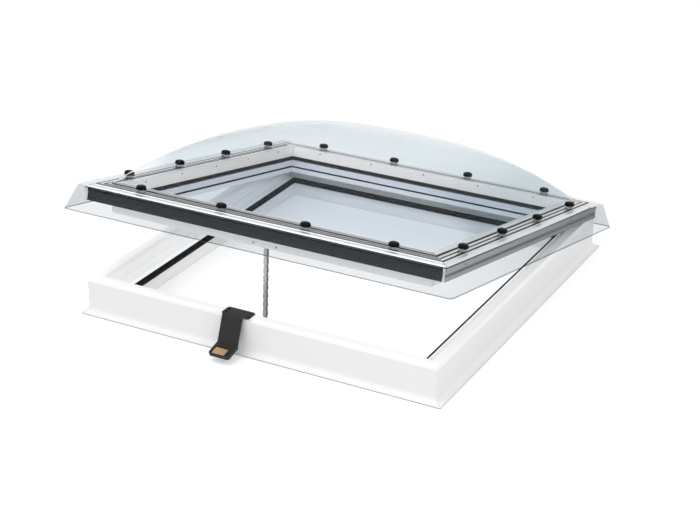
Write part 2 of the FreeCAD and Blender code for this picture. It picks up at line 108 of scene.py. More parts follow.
def mixed(tree, mask, a, b):
    """Colour a where the mask is 0 and b where it is 1; each is a socket or a colour."""
    node = tree.nodes.new("ShaderNodeMix")
    node.data_type = "RGBA"
    link(tree, mask, node.inputs["Factor"])
    for socket, value in ((node.inputs[6], a), (node.inputs[7], b)):
        if isinstance(value, tuple):
            socket.default_value = (*value, 1.0)
        else:
            link(tree, value, socket)
    return node.outputs[2]


def above(tree, value, level, sharpness):
    """Rises from 0 at the level to 1; the sharper, the sooner."""
    return maths(tree, "MULTIPLY", maths(tree, "SUBTRACT", value, level), sharpness, clamp=True)


def below(tree, value, level, sharpness):
    """Rises from 0 at the level to 1 beneath it; the sharper, the sooner."""
    return maths(tree, "MULTIPLY", maths(tree, "SUBTRACT", level, value), sharpness, clamp=True)


def band(tree, value, middle, half_width, sharpness):
    """1 where the value lies within half_width of the middle, with a soft edge."""
    apart = maths(tree, "ABSOLUTE", maths(tree, "SUBTRACT", value, middle))
    return below(tree, apart, half_width, sharpness)


def place_in(tree, source):
    """X, Y and Z of the place that comes into a group."""
    parts = tree.nodes.new("ShaderNodeSeparateXYZ")
    link(tree, source.outputs["Vector"], parts.inputs[0])
    return parts.outputs


def off_middle(tree, place):
    """Distances from the middle along X and along Y."""
    return maths(tree, "ABSOLUTE", place["X"]), maths(tree, "ABSOLUTE", place["Y"])


def across_bar(tree, place):
    """Distance from the middle, square to the side, so that it runs across each of the four bars."""
    return maths(tree, "MAXIMUM", *off_middle(tree, place))


# Groups that materials share. Sharpness is in 1/m: a mask with 400 rises from 0 to 1 within 2.5 mm.

PEEL_SCALE = 700.0
PEEL_DEPTH = 0.0004
ROUGHNESS_SWING = 0.25


def make_moulded_skin():
    """Faint mottling and orange peel of moulded or extruded plastic."""
    tree, source, out = group_named(
        "moulded_skin",
        [("Colour", "Color", (0.8, 0.8, 0.8, 1)), ("Mottle", "Float", 0.03), ("Scale", "Float", 30.0),
         ("Roughness", "Float", 0.4), ("Relief", "Float", 0.05)],
        [("Colour", "Color"), ("Roughness", "Float"), ("Normal", "Vector")])
    coords = tree.nodes.new("ShaderNodeTexCoord")
    broad = tree.nodes.new("ShaderNodeTexNoise")
    broad.inputs["Detail"].default_value = 3.0
    link(tree, coords.outputs["Object"], broad.inputs["Vector"])
    link(tree, source.outputs["Scale"], broad.inputs["Scale"])
    fine = tree.nodes.new("ShaderNodeTexNoise")
    fine.inputs["Scale"].default_value = PEEL_SCALE
    link(tree, coords.outputs["Object"], fine.inputs["Vector"])
    uneven = maths(tree, "SUBTRACT", broad.outputs["Fac"], 0.5)
    shade = maths(tree, "ADD", times(tree, uneven, source.outputs["Mottle"]), 1.0)
    tint = tree.nodes.new("ShaderNodeVectorMath")
    tint.operation = "SCALE"
    link(tree, source.outputs["Colour"], tint.inputs[0])
    link(tree, shade, tint.inputs["Scale"])
    link(tree, tint.outputs[0], out.inputs["Colour"])
    rough = maths(tree, "ADD", times(tree, uneven, ROUGHNESS_SWING), source.outputs["Roughness"], clamp=True)
    link(tree, rough, out.inputs["Roughness"])
    bump = tree.nodes.new("ShaderNodeBump")
    bump.inputs["Distance"].default_value = PEEL_DEPTH
    link(tree, fine.outputs["Fac"], bump.inputs["Height"])
    link(tree, source.outputs["Relief"], bump.inputs["Strength"])
    link(tree, bump.outputs["Normal"], out.inputs["Normal"])
    return tree


# The joint's line is dark within 0.6 of its half width and gone at 1.6
MITRE_FADE = 1.6


def make_mitre_line():
    """Mask of the fine dark joint where two mitred bars meet."""
    tree, source, out = group_named(
        "mitre_line", [("Vector", "Vector", None), ("Half width", "Float", 0.0006)], [("Mask", "Float")])
    x, y = off_middle(tree, place_in(tree, source))
    apart = maths(tree, "ABSOLUTE", maths(tree, "SUBTRACT", x, y))
    near = maths(tree, "DIVIDE", apart, source.outputs["Half width"])
    link(tree, maths(tree, "SUBTRACT", MITRE_FADE, near, clamp=True), out.inputs["Mask"])
    return tree


def make_drawn_lines():
    """Fine streaks along an extruded bar, laid out across its width and its height."""
    tree, source, out = group_named(
        "drawn_lines", [("Vector", "Vector", None), ("Scale", "Float", 900.0)], [("Height", "Float")])
    place = place_in(tree, source)
    section = tree.nodes.new("ShaderNodeCombineXYZ")
    link(tree, across_bar(tree, place), section.inputs["X"])
    link(tree, place["Z"], section.inputs["Y"])
    noise = tree.nodes.new("ShaderNodeTexNoise")
    noise.inputs["Detail"].default_value = 2.0
    link(tree, section.outputs[0], noise.inputs["Vector"])
    link(tree, source.outputs["Scale"], noise.inputs["Scale"])
    link(tree, noise.outputs["Fac"], out.inputs["Height"])
    return tree


# Middles and half widths of painted shade: grooves, inner seam and step lie across the rail, lip seam and
# hollow in height
RAIL_GROOVES = ((0.5335, 0.0036), (0.5512, 0.0042), (0.568, 0.0040), (0.5092, 0.0012))
RAIL_STEP = (0.5405, 0.0300)
LIP_SEAM = (0.1452, 0.0019)
RAIL_HOLLOW = (0.121, 0.006)
RAIL_FACE_TOP = 0.144
CORNER_PIECE_FROM = 0.5820
GROOVE_SHARPNESS = 1500.0
# Painted shade and reflection on the rail's side faces and in the hollow
SIDE_DARKNESS = 0.62
DARKER_TO_BACK = 0.3
HOLLOW_DARKNESS = 0.5


def make_rail_shade():
    """Masks of the rail: painted shade of grooves and seams, faces by side with painted shade on the sides,
    moulded corner pieces, painted shade on the front rail's step.
    """
    tree, source, out = mask_group(
        "rail_shade", ("Groove shade", "Side shade", "Front face", "Corner piece", "Front step shade"))
    place = place_in(tree, source)
    x, y = off_middle(tree, place)
    across = maths(tree, "MAXIMUM", x, y)
    # Painted shade: the grooves and seams are darkened as if in shade
    grooves = band(tree, place["Z"], *LIP_SEAM, GROOVE_SHARPNESS)
    for middle, half_width in RAIL_GROOVES:
        groove = band(tree, across, middle, half_width, GROOVE_SHARPNESS)
        grooves = maths(tree, "MAXIMUM", grooves, groove)
    link(tree, grooves, out.inputs["Groove shade"])
    low = below(tree, place["Z"], RAIL_FACE_TOP, sharpness=900.0)
    front_or_back = maths(tree, "GREATER_THAN", y, x)
    link(tree, times(tree, low, front_or_back), out.inputs["Front face"])
    end = above(tree, x, CORNER_PIECE_FROM, sharpness=3000.0)
    link(tree, times(tree, end, front_or_back), out.inputs["Corner piece"])
    # Painted shade: the front rail alone darkens across its step
    front_only = maths(tree, "GREATER_THAN", times(tree, place["Y"], -1.0), x)
    step = band(tree, across, *RAIL_STEP, sharpness=400.0)
    link(tree, times(tree, front_only, step), out.inputs["Front step shade"])
    # Painted reflection and shade: the side faces darken towards the back, for the dark surroundings they
    # reflect, and in the hollow of the hanging leg
    plain = maths(tree, "ADD", times(tree, place["Y"], DARKER_TO_BACK), SIDE_DARKNESS)
    hollow = band(tree, place["Z"], *RAIL_HOLLOW, sharpness=250.0)
    dark = maths(tree, "ADD", plain, times(tree, hollow, HOLLOW_DARKNESS), clamp=True)
    side = times(tree, dark, opposite(tree, front_or_back))
    link(tree, times(tree, low, side), out.inputs["Side shade"])
    return tree


# Where the black seal ends and its carrier begins, across the kerb
CARRIER_FROM = 0.5008


def make_seal_foot():
    """Mask of the white carrier of the two-part kerb seal, on the side away from the opening."""
    tree, source, out = mask_group("seal_foot", ("Mask",))
    across = across_bar(tree, place_in(tree, source))
    link(tree, above(tree, across, CARRIER_FROM, sharpness=4000.0), out.inputs["Mask"])
    return tree


# Heights of the cover's zones; the flange between dome and skirt is left plain
DOME_FROM = 0.160
SKIRT_BELOW = 0.154
FLANK_BELOW = 0.345
CUT_EDGE_BELOW = 0.0795
# From this place forward the flank loses a share of its tint; the skirt takes a share of its own tint
CLEAR_FRONT_FROM = -0.25
CLEAR_FRONT_SHARE = 0.8
SKIRT_SHARE = 0.35


def make_cover_zone():
    """Masks of the cover: dome and skirt; flanks, thicker than the blown top; skirt alone; its cut edge."""
    tree, source, out = mask_group("cover_zone", ("Flank", "Formed", "Skirt", "Cut edge"))
    place = place_in(tree, source)
    dome = above(tree, place["Z"], DOME_FROM, sharpness=60.0)
    skirt = below(tree, place["Z"], SKIRT_BELOW, sharpness=400.0)
    link(tree, maths(tree, "MAXIMUM", dome, skirt), out.inputs["Formed"])
    flank = below(tree, place["Z"], FLANK_BELOW, sharpness=11.0)
    clear_front = below(tree, place["Y"], CLEAR_FRONT_FROM, sharpness=8.0)
    flank = times(tree, flank, opposite(tree, times(tree, clear_front, CLEAR_FRONT_SHARE)))
    link(tree, times(tree, flank, dome), out.inputs["Flank"])
    link(tree, times(tree, skirt, SKIRT_SHARE), out.inputs["Skirt"])
    link(tree, below(tree, place["Z"], CUT_EDGE_BELOW, sharpness=1200.0), out.inputs["Cut edge"])
    return tree


# Painted light: the kerb's inside is all bright white, its top by half, up to these distances across
LIT_INSIDE_WITHIN = 0.5500
RIM_WITHIN = 0.5864
RIM_BRIGHTNESS = 0.5
# Painted shade along the flange's foot, below this height
FOOT_SHADE_BELOW = 0.0030


def make_kerb_zone():
    """Masks of the kerb: painted shade where its flange meets the roof; painted light that whitens its top
    and inside.
    """
    tree, source, out = mask_group("kerb_zone", ("Foot shade", "Inside light"))
    place = place_in(tree, source)
    across = across_bar(tree, place)
    inside = below(tree, across, LIT_INSIDE_WITHIN, sharpness=400.0)
    rim = below(tree, across, RIM_WITHIN, sharpness=2500.0)
    link(tree, maths(tree, "MAXIMUM", inside, times(tree, rim, RIM_BRIGHTNESS)), out.inputs["Inside light"])
    near_roof = below(tree, place["Z"], FOOT_SHADE_BELOW, sharpness=900.0)
    link(tree, times(tree, near_roof, opposite(tree, rim)), out.inputs["Foot shade"])
    return tree


moulded_skin = make_moulded_skin()
mitre_line = make_mitre_line()
drawn_lines = make_drawn_lines()
rail_shade = make_rail_shade()
seal_foot = make_seal_foot()
cover_zone = make_cover_zone()
kerb_zone = make_kerb_zone()


# Materials

def frame_plane(tree, opened):
    """Object coordinates, laid back into the closed sash's plane where the piece is on the open sash."""
    coords = tree.nodes.new("ShaderNodeTexCoord")
    if not opened:
        return coords.outputs["Object"]
    shift = tree.nodes.new("ShaderNodeVectorMath")
    shift.operation = "SUBTRACT"
    shift.inputs[1].default_value = (0, HINGE_Y, HINGE_Z)
    link(tree, coords.outputs["Object"], shift.inputs[0])
    turn = tree.nodes.new("ShaderNodeVectorRotate")
    turn.rotation_type = "X_AXIS"
    turn.inputs["Angle"].default_value = OPEN
    link(tree, shift.outputs[0], turn.inputs["Vector"])
    back = tree.nodes.new("ShaderNodeVectorMath")
    back.operation = "ADD"
    back.inputs[1].default_value = (0, HINGE_Y, HINGE_Z)
    link(tree, turn.outputs[0], back.inputs[0])
    return back.outputs[0]


def plastic(name, colour, roughness, mottle=0.03, relief=0.05, gloss=0.5, opened=False, joint_colour=None):
    """Moulded or extruded plastic; a joint colour draws the mitres, on the kerb or on the open sash."""
    material, tree, shader = material_named(name)
    skin = placed(tree, moulded_skin)
    skin.inputs["Colour"].default_value = (*colour, 1)
    skin.inputs["Mottle"].default_value = mottle
    skin.inputs["Roughness"].default_value = roughness
    skin.inputs["Relief"].default_value = relief
    base = skin.outputs["Colour"]
    if joint_colour:
        line = placed(tree, mitre_line)
        link(tree, frame_plane(tree, opened), line.inputs["Vector"])
        base = mixed(tree, line.outputs["Mask"], base, joint_colour)
    link(tree, base, shader.inputs["Base Color"])
    link(tree, skin.outputs["Roughness"], shader.inputs["Roughness"])
    link(tree, skin.outputs["Normal"], shader.inputs["Normal"])
    shader.inputs["Specular IOR Level"].default_value = gloss
    return material


def shaded_rail(tree, vector, base):
    """Colour of the sash's aluminium rail: mitres, faces, corner pieces, step and grooves over the metal,
    with painted reflection on the faces and painted shade on the sides, the step and the grooves.
    """
    line = placed(tree, mitre_line)
    line.inputs["Half width"].default_value = 0.0013
    link(tree, vector, line.inputs["Vector"])
    shade = placed(tree, rail_shade)
    link(tree, vector, shade.inputs["Vector"])
    base = mixed(tree, line.outputs["Mask"], base, (0.05, 0.05, 0.05))
    # Painted shade and reflection on the side faces
    base = mixed(tree, shade.outputs["Side shade"], base, (0.17, 0.17, 0.175))
    # Painted reflection: the front and back faces are near black for the dark surroundings they reflect,
    # except at the corner pieces
    face = mixed(tree, shade.outputs["Corner piece"], (0.04, 0.04, 0.04), base)
    base = mixed(tree, shade.outputs["Front face"], base, face)
    # Painted shade on the front rail's step
    base = mixed(tree, shade.outputs["Front step shade"], base, (0.42, 0.425, 0.43))
    # Painted shade in the grooves and seams
    return mixed(tree, shade.outputs["Groove shade"], base, (0.035, 0.037, 0.036))


STREAK_DULLNESS = 0.82
STREAK_ROUGHNESS = 0.2
STREAK_DEPTH = 0.0003
STREAK_RELIEF = 0.1


def drawn_metal(name, colour, roughness, scale=900.0, is_rail=False):
    """Extruded or drawn metal with streaks along its length."""
    material, tree, shader = material_named(name)
    vector = frame_plane(tree, is_rail)
    lines = placed(tree, drawn_lines)
    lines.inputs["Scale"].default_value = scale
    link(tree, vector, lines.inputs["Vector"])
    dull = tuple(STREAK_DULLNESS * channel for channel in colour)
    base = mixed(tree, lines.outputs["Height"], dull, colour)
    if is_rail:
        base = shaded_rail(tree, vector, base)
    link(tree, base, shader.inputs["Base Color"])
    shader.inputs["Metallic"].default_value = 1.0
    rough = times(tree, lines.outputs["Height"], STREAK_ROUGHNESS)
    rough = maths(tree, "ADD", rough, roughness - STREAK_ROUGHNESS / 2)
    link(tree, rough, shader.inputs["Roughness"])
    bump = tree.nodes.new("ShaderNodeBump")
    bump.inputs["Distance"].default_value = STREAK_DEPTH
    bump.inputs["Strength"].default_value = STREAK_RELIEF
    link(tree, lines.outputs["Height"], bump.inputs["Height"])
    link(tree, bump.outputs["Normal"], shader.inputs["Normal"])
    return material


def see_through(name, tint, ior, roughness, shadow_share):
    """Clear glass or acrylic; shadow_share is how much of the lamps' light passes it unhindered."""
    material, tree, shader = material_named(name)
    shader.inputs["Base Color"].default_value = (*tint, 1)
    shader.inputs["Transmission Weight"].default_value = 1.0
    shader.inputs["IOR"].default_value = ior
    shader.inputs["Roughness"].default_value = roughness
    path = tree.nodes.new("ShaderNodeLightPath")
    soft = maths(tree, "MAXIMUM", path.outputs["Is Shadow Ray"], path.outputs["Is Diffuse Ray"])
    link(tree, opposite(tree, times(tree, soft, shadow_share)), shader.inputs["Alpha"])
    return material


SLANT_POWER = 5.0


def tint_cover(material, tint, slant_tint, skirt_tint, edge_tint):
    """Colours the cover by zone; slant_tint is its colour seen along the sheet and on the flanks."""
    tree = material.node_tree
    slant = tree.nodes.new("ShaderNodeLayerWeight")
    slant.inputs["Blend"].default_value = 0.5
    zone = placed(tree, cover_zone)
    link(tree, frame_plane(tree, True), zone.inputs["Vector"])
    steep = maths(tree, "POWER", slant.outputs["Facing"], SLANT_POWER)
    way = times(tree, steep, zone.outputs["Formed"])
    way = maths(tree, "MAXIMUM", way, zone.outputs["Flank"])
    colour = mixed(tree, way, tint, slant_tint)
    colour = mixed(tree, zone.outputs["Skirt"], colour, skirt_tint)
    colour = mixed(tree, zone.outputs["Cut edge"], colour, edge_tint)
    link(tree, colour, tree.nodes["Principled BSDF"].inputs["Base Color"])


def lay_over(material, mask, colour):
    """Lays a colour over the material's own where the mask is 1."""
    tree = material.node_tree
    socket = tree.nodes["Principled BSDF"].inputs["Base Color"]
    under = socket.links[0].from_socket
    link(tree, mixed(tree, mask, under, colour), socket)


def masks_on(material, group, opened):
    """Places a mask group in a finished material and returns its outputs."""
    tree = material.node_tree
    node = placed(tree, group)
    link(tree, frame_plane(tree, opened), node.inputs["Vector"])
    return node.outputs


SIDEWAYS_FROM = 0.6


def paint_plate_side_shade(material, colour):
    """Painted shade: darkens the chain's plates where they look to the left or the right."""
    tree = material.node_tree
    surface = tree.nodes.new("ShaderNodeNewGeometry")
    parts = tree.nodes.new("ShaderNodeSeparateXYZ")
    link(tree, surface.outputs["True Normal"], parts.inputs[0])
    sideways = maths(tree, "ABSOLUTE", parts.outputs["X"])
    lay_over(material, maths(tree, "GREATER_THAN", sideways, SIDEWAYS_FROM), colour)


white_kerb = plastic("kerb_white", (0.785, 0.787, 0.793), 0.38, joint_colour=(0.74, 0.75, 0.77))
kerb_masks = masks_on(white_kerb, kerb_zone, opened=False)
# Painted light whitens the kerb's top and inside
lay_over(white_kerb, kerb_masks["Inside light"], (0.98, 0.982, 0.985))
# Painted shade along the flange's foot, where it meets the roof
lay_over(white_kerb, kerb_masks["Foot shade"], (0.22, 0.23, 0.25))
white_sash = plastic("sash_white", (0.95, 0.952, 0.955), 0.34, opened=True, joint_colour=(0.5, 0.52, 0.55))
seal_rubber = plastic("seal_black", (0.008, 0.009, 0.011), 0.6, mottle=0.1, relief=0.15, gloss=0.1)
lay_over(seal_rubber, masks_on(seal_rubber, seal_foot, opened=False)["Mask"], (0.93, 0.935, 0.94))
gasket_grey = plastic("gasket_grey", (0.048, 0.052, 0.05), 0.6, mottle=0.15, relief=0.15, gloss=0.15)
# Painted reflection: the front and back strips are near black for the dark surroundings they reflect; their
# corner pieces stay light
strip_dark_reflection = plastic("strip_painted_reflection", (0.032, 0.033, 0.033), 0.45, mottle=0.2, relief=0.2, gloss=0.3,
                   opened=True, joint_colour=(0, 0, 0))
lay_over(strip_dark_reflection, masks_on(strip_dark_reflection, rail_shade, opened=True)["Corner piece"], (0.62, 0.63, 0.64))
cap_black = plastic("cap_black", (0.003, 0.003, 0.003), 0.25, mottle=0.2, relief=0.1, gloss=0.08)
drive_white = plastic("drive_white", (0.75, 0.76, 0.77), 0.4)
spacer_grey = plastic("spacer_grey", (0.78, 0.8, 0.88), 0.45)
sensor_coat = plastic("sensor_coat", (0.014, 0.014, 0.014), 0.45, mottle=0.3, relief=0.4, gloss=0.28)
rail_metal = drawn_metal("rail_aluminium", (0.84, 0.845, 0.85), 0.44, is_rail=True)
hinge_zinc = drawn_metal("hinge_zinc", (0.55, 0.56, 0.57), 0.36)
chain_steel = drawn_metal("chain_steel", (0.52, 0.52, 0.53), 0.42)
paint_plate_side_shade(chain_steel, (0.07, 0.07, 0.072))
pad_copper = drawn_metal("pad_copper", (0.62, 0.4, 0.22), 0.45, scale=400.0)
screw_dark = drawn_metal("screw_dark", (0.16, 0.16, 0.165), 0.4, scale=400.0)
pane = see_through("pane_glass", (0.82, 0.85, 0.885), ior=1.012, roughness=0.0, shadow_share=0.98)
ACRYLIC_TINT = (0.98, 0.985, 0.992)
acrylic = see_through("dome_acrylic", ACRYLIC_TINT, ior=1.03, roughness=0.0, shadow_share=0.97)
tint_cover(acrylic, ACRYLIC_TINT, slant_tint=(0.71, 0.765, 0.79), skirt_tint=(0.36, 0.4, 0.44),
           edge_tint=(0.3, 0.33, 0.35))
collar_clear = see_through("collar_clear", (0.4, 0.43, 0.42), ior=1.3, roughness=0.1, shadow_share=0.6)

# Finish of each CAD piece, by the longest of these that its name begins with
finishes = {
    "kerb_seal": seal_rubber, "kerb": white_kerb, "sash": white_sash, "rail": rail_metal,
    "dark_strip": strip_dark_reflection, "glass_inner": pane, "glass_outer": pane, "glass_spacer": spacer_grey,
    "glazing_gasket": gasket_grey, "glass_bedding": gasket_grey, "dome": acrylic, "screw_caps": cap_black,
    "cap_collars": collar_clear, "hinge": hinge_zinc, "push_chain": chain_steel, "chain_pin": hinge_zinc,
    "chain_bracket": hinge_zinc, "chain_drive": drive_white, "sensor_bracket": sensor_coat,
    "sensor_pad": pad_copper}


def finish_of(name):
    best = max((key for key in finishes if name.startswith(key)), key=len)
    return finishes[best]


for name, piece in nodes.items():
    piece.data.materials.clear()
    piece.data.materials.append(finish_of(name))


# Modelling helpers

SMOOTH_ANGLE = 35.0
EVEN_WEIGHT = 90


def only(piece):
    """Makes the piece the one that is selected and active."""
    bpy.ops.object.select_all(action="DESELECT")
    piece.select_set(True)
    bpy.context.view_layer.objects.active = piece


def start(name):
    """Names the primitive just added and opens it for editing with nothing selected."""
    piece = bpy.context.active_object
    piece.name = name
    piece.data.name = name
    only(piece)
    bpy.ops.object.transform_apply(location=True, rotation=True, scale=True)
    bpy.ops.object.mode_set(mode="EDIT")
    bpy.ops.mesh.select_all(action="DESELECT")
    return piece


def pick(piece, kind, test):
    """Selects the parts that pass the test: of a face's middle and normal, an edge's ends, or a vertex."""
    bpy.ops.mesh.select_mode(type=kind)
    bpy.ops.mesh.select_all(action="DESELECT")
    form = bmesh.from_edit_mesh(piece.data)
    if kind == "FACE":
        for face in form.faces:
            face.select_set(test(face.calc_center_median(), face.normal))
    elif kind == "EDGE":
        for edge in form.edges:
            edge.select_set(test(edge.verts[0].co, edge.verts[1].co))
    else:
        for vert in form.verts:
            vert.select_set(test(vert.co))
    form.select_flush_mode()
    bmesh.update_edit_mesh(piece.data)


def extrude(rise):
    """Pulls the selection up by the rise, or down where it is negative."""
    bpy.ops.mesh.extrude_region_move(TRANSFORM_OT_translate={"value": (0, 0, rise)})


def widen(ratio):
    """Scales the selection in X and Y about the middle."""
    bpy.ops.transform.resize(value=(ratio, ratio, 1), center_override=(0, 0, 0))


def reach(point):
    """How far a point lies from the middle, square to the side it is on."""
    return max(abs(point.x), abs(point.y))


def leave_edit():
    bpy.ops.mesh.select_all(action="SELECT")
    bpy.ops.mesh.normals_make_consistent(inside=False)
    bpy.ops.object.mode_set(mode="OBJECT")


def settle(piece, material, stands_for=(), angle=SMOOTH_ANGLE):
    """Last steps of a finished piece: smooth shading, finish, body, and hiding the CAD parts it stands for.
    """
    only(piece)
    bpy.ops.object.shade_smooth_by_angle(angle=math.radians(angle))
    even = piece.modifiers.new("even_shading", "WEIGHTED_NORMAL")
    even.keep_sharp = True
    even.weight = EVEN_WEIGHT
    bpy.ops.object.modifier_apply(modifier=even.name)
    piece.data.materials.clear()
    piece.data.materials.append(material)
    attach(piece, "root")
    if stands_for:
        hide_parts(*stands_for)


def copies(pattern, places, material, stands_for=()):
    """One numbered copy of the pattern at each place, each with its own mesh; the pattern itself goes."""
    for number, place in enumerate(places, 1):
        piece = pattern.copy()
        piece.data = pattern.data.copy()
        piece.name = pattern.name + "_" + str(number)
        piece.data.name = piece.name
        piece.data.transform(place)
        bpy.context.scene.collection.objects.link(piece)
        settle(piece, material, stands_for)
    bpy.data.objects.remove(pattern)


def around(side):
    """Turn from the front side to another side of the square."""
    return Matrix.Rotation(math.pi / 2 * SIDES.index(side), 4, "Z")


def facing(x, y, z, turn_x=0.0, turn_y=0.0):
    """Place of an upright piece, turned by degrees to face sideways."""
    return (Matrix.Translation((x, y, z)) @ Matrix.Rotation(math.radians(turn_x), 4, "X")
            @ Matrix.Rotation(math.radians(turn_y), 4, "Y"))


# Sharp CAD edges get the small rounding of real extrusions and mouldings

# The rail's three grooves: where the CAD has them and where they go
GROOVE_MOVES = ((0.541, 0.534), (0.552, 0.5512), (0.563, 0.568))
GROOVE_HALF_WIDTH = 0.0022
GROOVES_ABOVE = 0.1515


def regroove(piece):
    """Moves the grooves to the foot of the rail's inner band, its middle and its lip."""
    piece.data.transform(swing.inverted())
    bpy.ops.object.mode_set(mode="EDIT")
    for old, new in GROOVE_MOVES:
        pick(piece, "VERT", lambda c: c.z > GROOVES_ABOVE and abs(reach(c) - old) < GROOVE_HALF_WIDTH)
        widen(new / old)
    bpy.ops.object.mode_set(mode="OBJECT")
    piece.data.transform(swing)


def softened(node_name, width, segments=2):
    """Copy of a CAD piece with rounded edges, which takes its place."""
    node = nodes[node_name]
    piece = node.copy()
    piece.data = node.data.copy()
    piece.name = node_name + "_soft"
    piece.data.name = piece.name
    piece.parent = None
    bpy.context.scene.collection.objects.link(piece)
    only(piece)
    bpy.ops.object.mode_set(mode="EDIT")
    bpy.ops.mesh.select_all(action="SELECT")
    bpy.ops.mesh.remove_doubles(threshold=0.00002)
    bpy.ops.mesh.dissolve_limited(angle_limit=math.radians(1.0))
    bpy.ops.object.mode_set(mode="OBJECT")
    if node_name.startswith("rail"):
        regroove(piece)
    bevel = piece.modifiers.new("edge", "BEVEL")
    bevel.width = width
    bevel.segments = segments
    bevel.limit_method = "ANGLE"
    bevel.angle_limit = math.radians(30)
    bevel.use_clamp_overlap = True
    bpy.ops.object.modifier_apply(modifier=bevel.name)
    settle(piece, finish_of(node_name), (node_name,))


for side in SIDES:
    softened("kerb_" + side, 0.0012)
    softened("sash_" + side, 0.0008)
    softened("rail_" + side, 0.0005)
for name in ("dark_strip_front", "dark_strip_back"):
    softened(name, 0.0006)
softened("chain_drive", 0.0008)
softened("sensor_bracket", 0.0012, segments=3)
softened("sensor_pad", 0.0006)
for name in ("chain_bracket", "hinge_kerb_leaves", "hinge_sash_leaves"):
    softened(name, 0.0004)
softened("push_chain", 0.0004)


# Clear cover: blown dome, flat flange and flared skirt in one sheet

FLANGE_TOP = 0.158
SHEET = 0.003
# Half widths of the dome's foot, the flange before its rolled edge and after it, and the skirt's lower edge
FOOT = 0.538
RIM = 0.602
ROLL = 0.607
SKIRT = 0.637
# How high the dome is blown, and how square it stays; a round one would have 2
RISE = 0.1898
SQUARENESS = 2.5
DOME_CUTS = 59
FOOT_ROUND = 0.006
ROLL_DROP = 0.004
ROLL_ROUND = 0.0018
SKIRT_DROP = 0.077
CORNER_ROUND = 0.014
COVER_SMOOTH_ANGLE = 50.0
# Two lengths this near count as the same
SAME = 0.0002
# An edge that drops further than this runs from the rolled edge down to the skirt's lower edge
LONG_DROP = 0.05
# The rounding of a corner ends in one point, made from points above this height and this near to it
TIPS_ABOVE = 0.1
TIP_LEVEL = 0.0003
TIP_SPREAD = 0.03


def blown(x, y):
    """Place of a point of the flat sheet once the dome is blown."""
    u = math.sin(math.pi / 2 * max(-1.0, min(1.0, x / FOOT)))
    v = math.sin(math.pi / 2 * max(-1.0, min(1.0, y / FOOT)))
    fall = math.sqrt(max(0.0, 1 - abs(u) ** SQUARENESS)) * math.sqrt(max(0.0, 1 - abs(v) ** SQUARENESS))
    return Vector((FOOT * u, FOOT * v, FLANGE_TOP + RISE * fall))


def blow_dome(cover):
    """Divides the middle of the flat sheet finely, blows it up and rounds its foot."""
    pick(cover, "FACE", lambda middle, normal: reach(middle) < FOOT / 2)
    bpy.ops.mesh.subdivide(number_cuts=DOME_CUTS)
    form = bmesh.from_edit_mesh(cover.data)
    for vert in form.verts:
        if reach(vert.co) < FOOT + SAME / 2:
            vert.co = blown(vert.co.x, vert.co.y)
    bmesh.update_edit_mesh(cover.data)
    pick(cover, "EDGE", lambda a, b: all(
        abs(reach(c) - FOOT) < SAME and abs(c.z - FLANGE_TOP) < SAME for c in (a, b)))
    bpy.ops.mesh.bevel(offset=FOOT_ROUND, segments=3, affect="EDGES", clamp_overlap=True)


def hang_skirt(cover):
    """Rolls the flange's edge over and draws the flared skirt down from it."""
    pick(cover, "EDGE", lambda a, b: all(abs(reach(c) - RIM) < SAME for c in (a, b)))
    extrude(-ROLL_DROP)
    widen(ROLL / RIM)
    extrude(-SKIRT_DROP)
    widen(SKIRT / ROLL)
    pick(cover, "EDGE", lambda a, b: abs(a.z - b.z) < SAME and all(
        c.z > FLANGE_TOP - ROLL_DROP - 0.0005 and reach(c) > RIM - 0.001 for c in (a, b)))
    bpy.ops.mesh.bevel(offset=ROLL_ROUND, segments=2, affect="EDGES", clamp_overlap=True)


def round_corners(cover):
    """Rounds the skirt's four corners at their lower ends, tapering to a point under the rolled edge."""
    pick(cover, "EDGE", lambda a, b: abs(a.z - b.z) > LONG_DROP and all(
        abs(abs(c.x) - abs(c.y)) < SAME for c in (a, b)))
    form = bmesh.from_edit_mesh(cover.data)
    tips = [vert.co.copy() for vert in form.verts if vert.select and vert.co.z > TIPS_ABOVE]
    bpy.ops.mesh.bevel(offset=CORNER_ROUND, segments=6, affect="EDGES", clamp_overlap=False)
    form = bmesh.from_edit_mesh(cover.data)
    for vert in form.verts:
        for tip in tips:
            if abs(vert.co.z - tip.z) < TIP_LEVEL and (vert.co - tip).length < TIP_SPREAD:
                vert.co = tip
    bmesh.update_edit_mesh(cover.data)
    bpy.ops.mesh.select_all(action="SELECT")
    bpy.ops.mesh.remove_doubles(threshold=0.00005)

    def beside_corner(a, b):
        lower = min((a, b), key=lambda c: c.z)
        return abs(a.z - b.z) > LONG_DROP and abs(reach(lower) - SKIRT) < SAME

    pick(cover, "EDGE", beside_corner)
    bpy.ops.mesh.mark_sharp()


def model_cover():
    bpy.ops.mesh.primitive_plane_add(size=2 * RIM, location=(0, 0, FLANGE_TOP))
    cover = start("clear_cover")
    pick(cover, "FACE", lambda middle, normal: True)
    bpy.ops.mesh.inset(thickness=RIM - FOOT)
    blow_dome(cover)
    hang_skirt(cover)
    round_corners(cover)
    leave_edit()
    wall = cover.modifiers.new("sheet", "SOLIDIFY")
    wall.thickness = SHEET
    wall.offset = -1
    bpy.ops.object.modifier_apply(modifier=wall.name)
    cover.data.transform(swing)
    skirts = tuple("dome_skirt_" + side for side in SIDES)
    settle(cover, acrylic, ("dome", "dome_flange") + skirts, angle=COVER_SMOOTH_ANGLE)


model_cover()


# Screw caps on clear collars round the flange

CAP_ROW = -0.559
CAP_STATIONS = (-0.4155, -0.1385, 0.1385, 0.4155)
CAP_RADIUS = 0.0155
CAP_FOOT = 0.007
CAP_TOP = 0.020
DIMPLE_DEPTH = 0.0009
DIMPLE_SLOPE = 0.85
COLLAR_RADIUS = 0.0135
COLLAR_FOOT = 0.0018
cap_places = [swing @ around(side) @ Matrix.Translation((x, CAP_ROW, FLANGE_TOP))
              for side in SIDES for x in CAP_STATIONS]


def looks_up(middle, normal):
    return normal.z > 0.99


